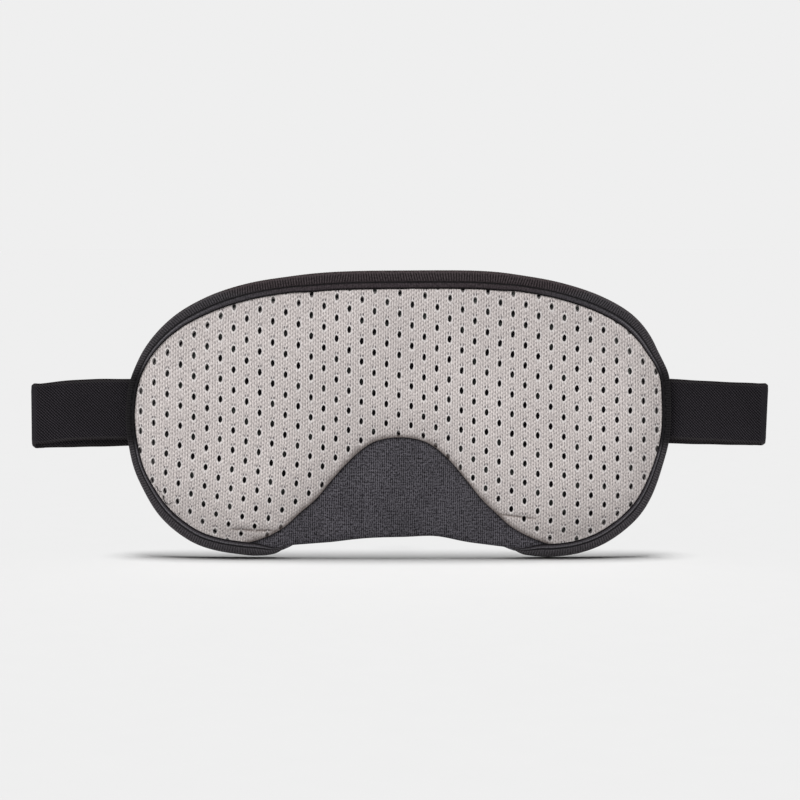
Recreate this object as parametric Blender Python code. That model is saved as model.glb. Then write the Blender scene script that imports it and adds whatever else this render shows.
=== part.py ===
"""Sleep eye mask: a padded mask body in an edge binding, a nose flap and an adjustable elastic strap.

Metres, +Z up. The mask stands upright as worn: its front faces -Y, its face side +Y, and X runs across it.
"""

import math

import bmesh
import bpy
from mathutils import Vector
from mathutils.geometry import delaunay_2d_cdt

MM = 0.001

# Outlines of the mask's right half as (x, z) in millimetres: the rim from the middle of its top edge round
# to the foot of the nose flap, the arch seam and the flap's free edge from the middle outwards.
RIM_HALF = [
    (0, 56.2), (30, 56), (48, 54), (64, 50.8), (79, 45.6), (91.8, 38), (101, 27.5), (106.2, 15),
    (107.8, 0), (106.8, -15), (102.8, -29), (95.6, -42), (84.6, -51.6), (73, -56.8), (60.5, -58.6),
    (50, -57.6), (42, -54.8),
]
ARCH_HALF = [
    (0, -10.2), (9, -11.6), (15, -15), (21, -20.6), (27.2, -27.8), (33, -35), (39, -40.8),
    (44.6, -46), (50.6, -49.6), (56, -52), (60.6, -53.6),
]
FLAP_EDGE_HALF = [(0, -50.4), (14, -50.9), (30, -52.8)]
FOOT_X = 60.6 * MM  # inside this, the flap and not the mask body is held in the binding

POINT_SPACING = 6 * MM  # between points along an outline
GRID_SPACING = 9 * MM  # between points inside a panel
BOW = 5 * MM  # how far the mask's ends lie back, following the face
HALF_WIDTH = 107.8 * MM
CROWN_REACH = 26 * MM  # the padding is at full depth this far from its edges
FACE_REACH = 9 * MM  # the same for the flatter face side
CROWN_POWER = 2.2

# Each layer's y at its edge and at full depth, front surface then back surface.
LAYERS = {
    "front_mesh_panel": ((-3.85, -11.2), (-3.35, -10.2)),
    "front_lining": ((-3.2, -9.9), (-2.9, -9.3)),
    "foam_pad": ((-2.75, -9), (-2.35, -1.8)),
    "blackout_film": ((-2.2, -1.5), (-2.05, -1.2)),
    "back_panel": ((-1.9, -0.9), (-1.4, 0)),
}
FACE_SIDE = -2.5  # a layer surface whose edge lies behind this follows the face side
EDGE_Y = -2.625 * MM  # the middle of the layers where they are sewn together

BINDING_WALL = 0.75 * MM
BINDING_HALF_DEPTH = 2.275 * MM
BINDING_GAP = 0.4 * MM  # between the layers' edges and the bottom of the binding's fold
BINDING_ROUND = 0.6 * MM
BINDING_SIDE = 4 * MM
BINDING_TOP = 6.6 * MM
BINDING_FOOT = 5.4 * MM
LIP_GAP = 0.8 * MM  # clear of the binding's lip before the padding swells

FLAP_THICKNESS = 1.8 * MM
FLAP_BULGE = 3 * MM
FLAP_REACH = 14 * MM
SEAM_GAP = 1.3 * MM  # between the mask body and the flap, where the seam's thread lies
THREAD_RADIUS = 0.25 * MM
THREAD_LIFT = 0.1 * MM  # a thread lies this far off the surface

STRAP_WIDTH = 24.8 * MM
STRAP_THICKNESS = 1.2 * MM
GAP = 0.3 * MM  # between neighbours that touch on the real object
STRAP_REACH = 147.4 * MM  # from the middle to the outside of each fold
STRAP_SEWN_X = 94 * MM  # where the strap's end starts on the face side
REAR_Y = 14 * MM  # the rear run's middle
REAR_DROP = -1.8 * MM  # the rear run hangs this much lower than the front runs
FRONT_DROP = -0.6 * MM  # the front runs' own fall at the fold
FOLD_FRONT_Y = 6.4 * MM  # the front run's middle where its fold starts
STRAP_STEPS = 10

RING_X = 58 * MM  # the ring bar that the long strap turns round
RING_PITCH = 8.4 * MM
RING_ROD = 1.2 * MM
ROD_GAP = 0.15 * MM
FRAME_CORNER = 2.2 * MM

SLIDER_X = -10 * MM
SLIDER_HALF = 8 * MM  # from the slider's middle bar to each outer bar
SLIDER_ROD = 1 * MM
END_LOOP_LEG = 15 * MM
RETURN_LEG = 8 * MM  # from the ring's bar to the end of the strap's turn round it
THREAD_PAD = 0.35 * MM
TACK_LENGTH = 1.8 * MM

MESH_GREY = (0.58, 0.54, 0.53)
JERSEY = (0.060, 0.056, 0.065)
BINDING = (0.038, 0.030, 0.031)
STRAP_BLACK = (0.016, 0.014, 0.017)
LINING_BLACK = (0.010, 0.010, 0.011)
FOAM = (0.60, 0.60, 0.56)
FILM = (0.02, 0.02, 0.02)
PLASTIC = (0.012, 0.012, 0.013)


def clear_scene():
    for obj in list(bpy.data.objects):
        bpy.data.objects.remove(obj)
    parts = bpy.data.collections.new("sleep_eye_mask")
    bpy.context.scene.collection.children.link(parts)
    return parts


PARTS = clear_scene()


def material(name, colour, roughness, metallic=0.0):
    made = bpy.data.materials.new(name)
    made.use_nodes = True
    shader = made.node_tree.nodes["Principled BSDF"]
    shader.inputs["Base Color"].default_value = (*colour, 1)
    shader.inputs["Roughness"].default_value = roughness
    shader.inputs["Metallic"].default_value = metallic
    return made


def object_from(name, mesh, finish):
    mesh.materials.clear()
    mesh.materials.append(finish)
    obj = bpy.data.objects.new(name, mesh)
    PARTS.objects.link(obj)
    return obj


def mesh_from(bm, name):
    bmesh.ops.recalc_face_normals(bm, faces=bm.faces)
    mesh = bpy.data.meshes.new(name)
    bm.to_mesh(mesh)
    bm.free()
    return mesh


# Plane curves in (x, z)


def smooth_through(points, steps=12):
    """A Catmull-Rom curve through the points."""
    ends = [points[0] * 2 - points[1], *points, points[-1] * 2 - points[-2]]
    curve = []
    for a, b, c, d in zip(ends, ends[1:], ends[2:], ends[3:]):
        for step in range(steps):
            t = step / steps
            curve.append(
                0.5
                * (
                    2 * b
                    + (c - a) * t
                    + (2 * a - 5 * b + 4 * c - d) * t * t
                    + (3 * b - a - 3 * c + d) * t**3
                )
            )
    return [*curve, points[-1]]


def evenly(points, spacing):
    """The same line with its points a near-constant distance apart."""
    lengths = [(b - a).length for a, b in zip(points, points[1:])]
    count = max(1, round(sum(lengths) / spacing))
    step = sum(lengths) / count
    found = [points[0]]
    walked = 0
    for a, b, length in zip(points, points[1:], lengths):
        while len(found) < count and walked + length >= step * len(found):
            found.append(a.lerp(b, (step * len(found) - walked) / length))
        walked += length
    return [*found, points[-1]]


def whole(half, spacing=POINT_SPACING):
    """A symmetric line from its right half, left end first."""
    right = [Vector(p) * MM for p in half]
    left = [Vector((-p.x, p.y)) for p in reversed(right[1:])]
    return evenly(smooth_through(left + right), spacing)


def inward(path, index):
    """The unit normal to the right of the path, which on the rim points into the mask."""
    ahead = path[min(index + 1, len(path) - 1)] - path[max(index - 1, 0)]
    return Vector((ahead.y, -ahead.x)).normalized()


def inset(path, distance):
    """The path moved inwards, by a distance or by a function of the point."""
    moved = []
    for index, point in enumerate(path):
        by = distance(point) if callable(distance) else distance
        moved.append(point + inward(path, index) * by)
    return moved


def distance_to(path, point):
    nearest = math.inf
    for a, b in zip(path, path[1:]):
        along = b - a
        t = min(max((point - a).dot(along) / along.length_squared, 0), 1)
        nearest = min(nearest, (a + along * t - point).length)
    return nearest


def smoothstep(low, high, value):
    t = min(max((value - low) / (high - low), 0), 1)
    return t * t * (3 - 2 * t)


RIM = whole(RIM_HALF)
ARCH = whole(ARCH_HALF)
FLAP_EDGE = whole(FLAP_EDGE_HALF)


def binding_width(point):
    """How far the binding reaches in from the rim: least at the sides."""
    top = smoothstep(15 * MM, 50 * MM, point.y) * (BINDING_TOP - BINDING_SIDE)
    foot = smoothstep(-20 * MM, -50 * MM, point.y) * (BINDING_FOOT - BINDING_SIDE)
    return BINDING_SIDE + top + foot


# Surfaces over the (x, z) plane


def bow(x):
    return BOW * (x / HALF_WIDTH) ** 2


def swelling(point, reach):
    """0 in the binding and at the arch seam, rising to 1 at that reach from them."""
    from_rim = distance_to(RIM, point) - binding_width(point) - LIP_GAP
    nearest = min(from_rim, distance_to(ARCH, point))
    return min(max(nearest / reach, 0), 1)


def layer_y(point, edge, full):
    if edge < FACE_SIDE:
        share = 1 - (1 - swelling(point, CROWN_REACH)) ** CROWN_POWER
    else:
        share = smoothstep(0, 1, swelling(point, FACE_REACH))
    return bow(point.x) + (edge + (full - edge) * share) * MM


def panel(name, outline, inner, front, back, finish):
    """A closed solid over an outline, between two surfaces y = front(point) and y = back(point)."""
    loop = [(i, (i + 1) % len(outline)) for i in range(len(outline))]
    points, _, faces, *_ = delaunay_2d_cdt(outline + inner, loop, [], 1, 1e-7)
    bm = bmesh.new()
    fronts = [bm.verts.new((p.x, front(p), p.y)) for p in points]
    backs = [bm.verts.new((p.x, back(p), p.y)) for p in points]
    edges = set()
    for face in faces:
        bm.faces.new([fronts[i] for i in face])
        bm.faces.new([backs[i] for i in reversed(face)])
        edges.update(zip(face, face[1:] + face[:1]))
    for a, b in edges:
        if (b, a) not in edges:
            bm.faces.new([fronts[b], fronts[a], backs[a], backs[b]])
    return object_from(name, mesh_from(bm, name), finish)


def grid_inside(outline, keep):
    """Points of a square grid inside an outline, where keep says so."""
    low_x = min(p.x for p in outline)
    low_y = min(p.y for p in outline)
    columns = int((max(p.x for p in outline) - low_x) / GRID_SPACING) + 1
    rows = int((max(p.y for p in outline) - low_y) / GRID_SPACING) + 1
    found = []
    for column in range(columns):
        for row in range(rows):
            point = Vector((low_x + (column + 0.5) * GRID_SPACING, low_y + (row + 0.5) * GRID_SPACING))
            if inside(outline, point) and keep(point):
                found.append(point)
    return found


def inside(outline, point):
    odd = False
    for a, b in zip(outline, outline[1:] + outline[:1]):
        if (a.y > point.y) != (b.y > point.y):
            crossing = a.x + (point.y - a.y) / (b.y - a.y) * (b.x - a.x)
            odd ^= point.x < crossing
    return odd


def held_in_foot(point):
    return abs(point.x) < FOOT_X and point.y < 0


def make_layers(finishes):
    """The mask body's five cloth and foam layers, one outline between the binding and the arch seam."""
    edge = inset(RIM, BINDING_WALL + BINDING_GAP)
    outline = [p for p in edge if not held_in_foot(p)] + list(reversed(ARCH))
    lip = inset(RIM, lambda p: binding_width(p) + LIP_GAP)
    ring = [p for p in lip if abs(p.x) > FOOT_X + 4 * MM or p.y > 0]
    clear = 4.5 * MM
    inner = ring + grid_inside(
        outline,
        lambda p: distance_to(lip, p) > clear
        and distance_to(ARCH, p) > clear
        and distance_to(RIM, p) > clear + BINDING_SIDE,
    )
    for name, ((edge_front, full_front), (edge_back, full_back)) in LAYERS.items():
        panel(
            name,
            outline,
            inner,
            lambda p: layer_y(p, edge_front, full_front),
            lambda p: layer_y(p, edge_back, full_back),
            finishes[name],
        )


def make_nose_flap(finish):
    """The jersey flap from the arch seam down to its folded edge, its two corners held in the binding."""
    top = inset(ARCH, SEAM_GAP)
    edge = inset(RIM, BINDING_WALL + BINDING_GAP)
    left = [p for p in reversed(edge) if held_in_foot(p) and p.x < 0]
    right = [p for p in reversed(edge) if held_in_foot(p) and p.x > 0]
    lower = left + FLAP_EDGE + right
    outline = list(reversed(top)) + lower
    low_edge = [*left[-1:], *FLAP_EDGE, *right[:1]]

    def bulge(p):
        from_rim = distance_to(RIM, p) - binding_width(p) - LIP_GAP
        nearest = min(from_rim, distance_to(ARCH, p), distance_to(low_edge, p) + 5 * MM)
        return bow(p.x) + EDGE_Y - FLAP_BULGE * smoothstep(0, FLAP_REACH, nearest)

    inner = grid_inside(
        outline,
        lambda p: min(distance_to(top, p), distance_to(lower, p)) > 3.5 * MM,
    )
    panel(
        "nose_flap",
        outline,
        inner,
        lambda p: bulge(p) - FLAP_THICKNESS / 2,
        lambda p: bulge(p) + FLAP_THICKNESS / 2,
        finish,
    )


# Swept pieces


def loft(name, sections, finish, closed=False):
    """A closed solid through rings of equally many points, capped at both ends unless it closes on itself."""
    bm = bmesh.new()
    rings = [[bm.verts.new(point) for point in section] for section in sections]
    following = rings[1:] + rings[:1] if closed else rings[1:]
    for ring, after in zip(rings, following):
        count = len(ring)
        for i in range(count):
            j = (i + 1) % count
            bm.faces.new([ring[i], ring[j], after[j], after[i]])
    if not closed:
        bm.faces.new(list(reversed(rings[0])))
        bm.faces.new(rings[-1])
    return object_from(name, mesh_from(bm, name), finish)


def on_rim(path, index, across, y):
    """A point across the rim from the path's own point, at a depth y from the middle of the layers."""
    spot = path[index] + inward(path, index) * across
    return Vector((spot.x, bow(spot.x) + EDGE_Y + y, spot.y))


def make_binding(finish):
    """A U-shaped strip folded over the rim, open where the nose flap's free edge is."""
    sections = []
    deep = BINDING_HALF_DEPTH
    bottom = BINDING_WALL
    for index, point in enumerate(RIM):
        width = binding_width(point)
        shape = [
            (width, -deep), (BINDING_ROUND, -deep), (0, BINDING_ROUND - deep), (0, deep - BINDING_ROUND),
            (BINDING_ROUND, deep), (width, deep), (width, deep - bottom), (bottom, deep - bottom),
            (bottom, bottom - deep), (width, bottom - deep),
        ]
        sections.append([on_rim(RIM, index, across, y) for across, y in shape])
    return loft("edge_binding", sections, finish)


def tube(name, points, radius, finish, closed=False, resolution=2):
    """A round rod along the points, made a mesh with its caps welded on."""
    data = bpy.data.curves.new(name, "CURVE")
    data.dimensions = "3D"
    data.bevel_depth = radius
    data.bevel_resolution = resolution
    data.use_fill_caps = True
    spline = data.splines.new("POLY")
    spline.points.add(len(points) - 1)
    for spot, point in zip(spline.points, points):
        spot.co = (*point, 1)
    spline.use_cyclic_u = closed
    guide = bpy.data.objects.new(name + "_guide", data)
    bpy.context.scene.collection.objects.link(guide)
    graph = bpy.context.evaluated_depsgraph_get()
    mesh = bpy.data.meshes.new_from_object(guide.evaluated_get(graph))
    bpy.data.objects.remove(guide)
    bm = bmesh.new()
    bm.from_mesh(mesh)
    bmesh.ops.remove_doubles(bm, verts=bm.verts, dist=1e-6)
    bm.to_mesh(mesh)
    bm.free()
    mesh.name = name
    return object_from(name, mesh, finish)


def make_threads(finish):
    """The binding's two seam threads, one on each face, and the arch seam's thread between body and flap."""
    for name, side in (("binding_thread_front", -1), ("binding_thread_back", 1)):
        depth = side * (BINDING_HALF_DEPTH + THREAD_RADIUS + THREAD_LIFT)
        line = []
        for index, point in enumerate(RIM):
            across = binding_width(point) - 1.4 * MM
            line.append(on_rim(RIM, index, across, depth))
        tube(name, line, THREAD_RADIUS, finish)
    seam = inset(ARCH, SEAM_GAP / 2)
    line = [Vector((p.x, bow(p.x) + EDGE_Y, p.y)) for p in seam[1:-1]]
    tube("arch_seam_thread", line, THREAD_RADIUS, finish)


def ribbon(name, path, finish, width=STRAP_WIDTH, thickness=STRAP_THICKNESS):
    """Webbing of that width, standing on edge along a path of (x, y, z) points."""
    sections = []
    soft = thickness * 0.3
    for index, point in enumerate(path):
        ahead = path[min(index + 1, len(path) - 1)] - path[max(index - 1, 0)]
        side = Vector((ahead.y, -ahead.x, 0)).normalized()
        half = width / 2
        deep = thickness / 2
        shape = [
            (deep, half - soft), (deep - soft, half), (soft - deep, half), (-deep, half - soft),
            (-deep, soft - half), (soft - deep, -half), (deep - soft, -half), (deep, soft - half),
        ]
        sections.append([point + side * across + Vector((0, 0, up)) for across, up in shape])
    return loft(name, sections, finish)


def turn(centre, radius, start, sweep, steps=STRAP_STEPS):
    """Points on an arc in the (x, y) plane, angles in degrees."""
    points = []
    for step in range(steps + 1):
        angle = math.radians(start + sweep * step / steps)
        points.append(centre + radius * Vector((math.cos(angle), math.sin(angle), 0)))
    return points


FOLD_RADIUS = (REAR_Y - FOLD_FRONT_Y) / 2
FOLD_X = STRAP_REACH - STRAP_THICKNESS / 2 - FOLD_RADIUS


def side_path():
    """The right strap from its sewn end over the front run and round the fold to the rear run."""
    sewn_y = bow(STRAP_SEWN_X) + GAP + STRAP_THICKNESS / 2
    thread_y = bow(HALF_WIDTH) + EDGE_Y + BINDING_HALF_DEPTH + THREAD_LIFT + THREAD_RADIUS
    over_y = thread_y + THREAD_RADIUS + GAP + STRAP_THICKNESS / 2
    front = [
        Vector((STRAP_SEWN_X, sewn_y + THREAD_LIFT, 0)),
        Vector((STRAP_SEWN_X + 6 * MM, (sewn_y + over_y) / 2, 0)),
        Vector((HALF_WIDTH - 4 * MM, over_y - THREAD_LIFT, 0)),
        Vector((HALF_WIDTH + 2 * MM, over_y, 0)),
        Vector((HALF_WIDTH + 14 * MM, FOLD_FRONT_Y, 0)),
    ]
    fold = turn(Vector((FOLD_X, FOLD_FRONT_Y + FOLD_RADIUS, 0)), FOLD_RADIUS, -90, 180)
    path = front + fold
    for point in path:
        front_share = smoothstep(HALF_WIDTH, FOLD_X, point.x)
        fold_share = smoothstep(FOLD_FRONT_Y, REAR_Y, point.y)
        point.z = FRONT_DROP * front_share + (REAR_DROP - FRONT_DROP) * fold_share
    return path


def mirrored(path):
    return [Vector((-p.x, p.y, p.z)) for p in path]


def thread_pad(name, x_from, x_to, y, z, finish, height=STRAP_WIDTH - 3 * MM):
    """A flat block of dense stitching against a strap's surface."""
    bm = bmesh.new()
    bmesh.ops.create_cube(bm, size=1)
    size = Vector((abs(x_to - x_from), THREAD_PAD, height))
    middle = Vector(((x_from + x_to) / 2, y, z))
    bmesh.ops.scale(bm, vec=size, verts=bm.verts)
    bmesh.ops.translate(bm, vec=middle, verts=bm.verts)
    return object_from(name, mesh_from(bm, name), finish)


def make_side_straps(strap, thread):
    path = side_path()
    tack_y = path[1].y + STRAP_THICKNESS / 2 + 0.5 * GAP + THREAD_PAD / 2
    for side, name, route in ((-1, "left", mirrored(path)), (1, "right", path)):
        ribbon(f"strap_{name}_side", route, strap)
        start = side * (STRAP_SEWN_X + 4 * MM)
        thread_pad(f"strap_tack_{name}", start, start + side * TACK_LENGTH, tack_y, 0, thread)


RING_Y = REAR_Y + STRAP_THICKNESS / 2 + ROD_GAP + RING_ROD
RING_TURN = RING_ROD + ROD_GAP + STRAP_THICKNESS / 2
SLIDER_TURN = SLIDER_ROD + ROD_GAP + STRAP_THICKNESS / 2
SLIDER_BAR_Y = REAR_Y + STRAP_THICKNESS / 2 + GAP + STRAP_THICKNESS / 2 + SLIDER_TURN
OUTER_BAR_Y = REAR_Y - STRAP_THICKNESS / 2 - GAP - SLIDER_ROD


def at_rear(x, y):
    return Vector((x, y, REAR_DROP))


def make_rear_straps(strap, thread):
    """The long strap's rear run with its turn round the ring, the doubled stretch, and the short strap."""
    start = at_rear(GAP - FOLD_X, REAR_Y)
    run = [start.lerp(at_rear(RING_X, REAR_Y), share / 8) for share in range(8)]
    around = turn(at_rear(RING_X, RING_Y), RING_TURN, -90, 180)
    back = at_rear(RING_X - RETURN_LEG, RING_Y + RING_TURN)
    ribbon("strap_back", run + around + [back], strap)

    loop_end = at_rear(SLIDER_X + END_LOOP_LEG + GAP, SLIDER_BAR_Y + SLIDER_TURN)
    ribbon("strap_return", [back - Vector((GAP, 0, 0)), loop_end], strap)

    far_bar = RING_X + RING_PITCH
    near = at_rear(FOLD_X - GAP, REAR_Y)
    around = turn(at_rear(far_bar, RING_Y), RING_TURN, -90, -180)
    joined_y = REAR_Y + STRAP_THICKNESS + GAP
    lap = [
        at_rear(far_bar + 3 * MM, RING_Y + RING_TURN - 0.6 * MM),
        at_rear(far_bar + 9 * MM, joined_y + 0.3 * MM),
        at_rear(far_bar + 12 * MM, joined_y),
        at_rear(far_bar + 24 * MM, joined_y),
    ]
    ribbon("ring_strap", [near, at_rear(100 * MM, REAR_Y)] + around + lap, strap)
    pad_y = joined_y + STRAP_THICKNESS / 2 + 0.5 * GAP + THREAD_PAD / 2
    pad_x = far_bar + 14 * MM
    thread_pad("ring_strap_thread", pad_x, pad_x + 7 * MM, pad_y, REAR_DROP, thread)


def frame_loop(x_low, x_high, half_height, y_of):
    """A closed rounded rectangle in x and z, at a depth y_of(x)."""
    points = []
    corners = (
        (x_high - FRAME_CORNER, half_height - FRAME_CORNER, 0),
        (x_low + FRAME_CORNER, half_height - FRAME_CORNER, 90),
        (x_low + FRAME_CORNER, FRAME_CORNER - half_height, 180),
        (x_high - FRAME_CORNER, FRAME_CORNER - half_height, 270),
    )
    for corner, (x, z, start) in enumerate(corners):
        for step in range(6):
            angle = math.radians(start + 90 * step / 5)
            spot_x = x + FRAME_CORNER * math.cos(angle)
            spot_z = z + FRAME_CORNER * math.sin(angle)
            points.append(Vector((spot_x, y_of(spot_x), spot_z + REAR_DROP)))
        if corner % 2 == 0:
            step_x = (corners[(corner + 1) % 4][0] - x) / 8
            for step in range(1, 8):
                spot_x = x + step_x * step
                points.append(Vector((spot_x, y_of(spot_x), points[-1].z)))
    return points


def make_ring(finish):
    half = STRAP_WIDTH / 2 + 0.6 * MM + RING_ROD
    loop = frame_loop(RING_X, RING_X + RING_PITCH, half, lambda x: RING_Y)
    tube("ring", loop, RING_ROD, finish, closed=True, resolution=3)


def make_slider(finish):
    """A cambered frame of two outer bars and two rails, with a raised middle bar between the rails."""

    def camber(x):
        share = math.cos(math.pi / 2 * min(abs(x - SLIDER_X) / SLIDER_HALF, 1))
        return OUTER_BAR_Y + (SLIDER_BAR_Y - OUTER_BAR_Y) * smoothstep(0, 1, share)

    half = STRAP_WIDTH / 2 + 0.6 * MM + SLIDER_ROD
    loop = frame_loop(SLIDER_X - SLIDER_HALF, SLIDER_X + SLIDER_HALF, half, camber)
    slider = tube("slider", loop, SLIDER_ROD, finish, closed=True, resolution=3)
    ends = [Vector((SLIDER_X, SLIDER_BAR_Y, REAR_DROP + side * half)) for side in (-1, 1)]
    bar = tube("slider_bar", ends, SLIDER_ROD * 0.98, finish, resolution=3)
    union = slider.modifiers.new("middle bar", "BOOLEAN")
    union.operation = "UNION"
    union.object = bar
    bar.hide_render = True
    bar.display_type = "WIRE"
    PARTS.objects.unlink(bar)
    helpers = bpy.data.collections.new("cutters")
    bpy.context.scene.collection.children.link(helpers)
    helpers.objects.link(bar)


def make_strap_end(strap, thread):
    """The long strap's end: round the slider's middle bar and sewn to itself."""
    outer = at_rear(SLIDER_X + END_LOOP_LEG, SLIDER_BAR_Y + SLIDER_TURN)
    around = turn(at_rear(SLIDER_X, SLIDER_BAR_Y), SLIDER_TURN, 90, 180)
    sewn_y = outer.y - STRAP_THICKNESS - GAP
    lap = [
        at_rear(SLIDER_X + 3 * MM, SLIDER_BAR_Y - SLIDER_TURN + 0.5 * MM),
        at_rear(SLIDER_X + 7 * MM, sewn_y - 0.3 * MM),
        at_rear(SLIDER_X + 9 * MM, sewn_y),
        at_rear(SLIDER_X + END_LOOP_LEG - 1 * MM, sewn_y),
    ]
    ribbon("strap_end_loop", [outer] + around + lap, strap)
    pad_y = outer.y + STRAP_THICKNESS / 2 + 0.5 * GAP + THREAD_PAD / 2
    thread_pad("strap_end_thread", SLIDER_X + 8 * MM, SLIDER_X + 13 * MM, pad_y, REAR_DROP, thread)


def main():
    jersey = material("jersey", JERSEY, 0.95)
    strap = material("strap elastic", STRAP_BLACK, 0.85)
    thread = material("black thread", LINING_BLACK, 0.7)
    plastic = material("black plastic", PLASTIC, 0.35)
    make_layers(
        {
            "front_mesh_panel": material("perforated mesh", MESH_GREY, 0.9),
            "front_lining": material("lining", LINING_BLACK, 0.9),
            "foam_pad": material("foam", FOAM, 0.95),
            "blackout_film": material("film", FILM, 0.6),
            "back_panel": jersey,
        }
    )
    make_nose_flap(jersey)
    make_binding(material("ribbed binding", BINDING, 0.9))
    make_threads(thread)
    make_side_straps(strap, thread)
    make_rear_straps(strap, thread)
    make_ring(plastic)
    make_slider(plastic)
    make_strap_end(strap, thread)


main()
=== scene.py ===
"""Looks of the sleep eye mask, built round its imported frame. Lengths are in millimetres."""

import math

import bpy
import numpy as np
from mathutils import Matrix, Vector
from mathutils.geometry import delaunay_2d_cdt


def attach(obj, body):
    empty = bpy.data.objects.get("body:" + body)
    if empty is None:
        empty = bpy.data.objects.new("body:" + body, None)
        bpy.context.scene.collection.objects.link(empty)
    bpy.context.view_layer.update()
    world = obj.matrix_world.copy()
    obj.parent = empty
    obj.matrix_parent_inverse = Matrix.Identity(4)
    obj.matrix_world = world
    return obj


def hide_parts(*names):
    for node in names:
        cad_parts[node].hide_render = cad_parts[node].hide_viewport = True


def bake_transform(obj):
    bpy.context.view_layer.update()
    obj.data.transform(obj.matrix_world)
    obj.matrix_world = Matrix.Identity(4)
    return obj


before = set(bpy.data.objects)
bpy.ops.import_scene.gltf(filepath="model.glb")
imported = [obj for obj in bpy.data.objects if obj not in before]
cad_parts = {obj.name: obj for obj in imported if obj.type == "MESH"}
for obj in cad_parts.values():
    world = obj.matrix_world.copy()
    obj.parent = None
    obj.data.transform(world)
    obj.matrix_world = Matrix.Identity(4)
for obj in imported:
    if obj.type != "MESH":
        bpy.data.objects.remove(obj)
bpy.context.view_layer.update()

MM = 0.001

# The mask's right half as (x, z): its rim, the arch seam and the nose flap's free edge.
RIM_HALF = [
    (0, 56.2), (30, 56), (48, 54), (64, 50.8), (79, 45.6), (91.8, 38), (101, 27.5), (106.2, 15),
    (107.8, 0), (106.8, -15), (102.8, -29), (95.6, -42), (84.6, -51.6), (73, -56.8), (60.5, -58.6),
    (50, -57.6), (42, -54.8),
]
ARCH_HALF = [
    (0, -10.2), (9, -11.6), (15, -15), (21, -20.6), (27.2, -27.8), (33, -35), (39, -40.8),
    (44.6, -46), (50.6, -49.6), (56, -52), (60.6, -53.6),
]
FLAP_EDGE_HALF = [(0, -50.4), (14, -50.9), (30, -52.8)]
FOOT_X = 60.6
HALF_WIDTH = 107.8
BOW = 5
EDGE_Y = -2.625
HALF_DEPTH = 2.275
SEAM_ALLOWANCE = 0.35
MESH_INSET = 2.0
LAYER_INSET = 1.3
MESH_EDGE = -3.85
MESH_FULL = -11.2

CROWN_REACH = 26
FACE_REACH = 9
CROWN_POWER = 2.2
LIP_GAP = 0.8
MESH_THICK = 0.5

# The knit's lattice of holes: the i-th column, and the j-th hole down it. Stretched over the padding it
# drifts from a regular lattice, by terms in i, j, ii, ij, jj, iii, iij, ijj and jjj.
COLUMN_PITCH = 5.1
ROW_PITCH = 7.9
COLUMN_RISE = 3.53
KNIT_START = (0.28, 23.0)
KNIT_X = (4.97, -0.070, 0.0029, -0.0112, 0.0065, 0.00103, -0.00282, 0.00473, -0.00194)
KNIT_Z = (3.555, -8.035, 0.0020, -0.0097, 0.0239, -0.00017, 0.00155, -0.00272, 0.00135)
WALE_PITCH = 1.014
HOLE_HALF_WIDTH = 0.71
HOLE_HALF_HEIGHT = 1.25

STRAP_WIDTH = 24.8
STRAP_THICK = 1.2
REAR_Y = 14
REAR_DROP = -1.8
FRONT_RISE = 0.3
FRONT_DROP = -1.6
FOLD_FRONT_Y = 6.4
FOLD_RADIUS = (REAR_Y - FOLD_FRONT_Y) / 2
FOLD_X = 147.4 - STRAP_THICK / 2 - FOLD_RADIUS
FOLD_LEFT = FOLD_X + 1.2
FOLD_RIGHT = FOLD_X + 2.2
GAP = 0.3
ROD_GAP = 0.15
RIB_PITCH = 1.05
STITCH_RINGS = 6
THREAD_SIDES = 6
ROD_SIDES = 16
STITCH_RADIUS = 0.2
LOOSE_RADIUS = 0.13
TACK_RADIUS = 0.17
TACK_HEIGHT = STRAP_WIDTH - 3
RING_X, RING_PITCH, RING_ROD = 58, 8.4, 1.2
SLIDER_X, SLIDER_HALF, SLIDER_ROD = -10, 8, 1.0
RING_Y = REAR_Y + STRAP_THICK / 2 + ROD_GAP + RING_ROD
RING_TURN = RING_ROD + ROD_GAP + STRAP_THICK / 2
SLIDER_TURN = SLIDER_ROD + ROD_GAP + STRAP_THICK / 2
SLIDER_BAR_Y = REAR_Y + STRAP_THICK + GAP + SLIDER_TURN
OUTER_BAR_Y = REAR_Y - STRAP_THICK / 2 - GAP - SLIDER_ROD
END_LOOP_LEG = 15
RETURN_LEG = 8
FRAME_CORNER = 2.2


# Plane geometry on arrays of points


def smoothstep(low, high, value):
    t = np.clip((value - low) / (high - low), 0, 1)
    return t * t * (3 - 2 * t)


def bump(value, middle, width):
    return np.exp(-(((value - middle) / width) ** 2))


def smooth_through(points, steps=12):
    """A Catmull-Rom curve through the points."""
    ends = np.vstack([2 * points[0] - points[1], points, 2 * points[-1] - points[-2]])
    t = (np.arange(steps) / steps)[:, None]
    spans = []
    for a, b, c, d in zip(ends, ends[1:], ends[2:], ends[3:]):
        squared, cubed = 2 * a - 5 * b + 4 * c - d, 3 * b - a - 3 * c + d
        spans.append(0.5 * (2 * b + (c - a) * t + squared * t**2 + cubed * t**3))
    return np.vstack([*spans, points[-1:]])


def columns(*values):
    return np.stack(values, axis=1)


def lengths_along(path):
    return np.concatenate([[0], np.cumsum(np.linalg.norm(np.diff(path, axis=0), axis=1))])


def at_lengths(path, along, wanted):
    return np.stack([np.interp(wanted, along, column) for column in path.T], axis=1)


def evenly(path, spacing):
    along = lengths_along(path)
    count = max(1, round(along[-1] / spacing))
    return at_lengths(path, along, np.linspace(0, along[-1], count + 1))


def whole(half, spacing):
    """A symmetric line from its right half, left end first."""
    right = np.array(half, float)
    return evenly(smooth_through(np.vstack([right[:0:-1] * [-1, 1], right])), spacing)


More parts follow.
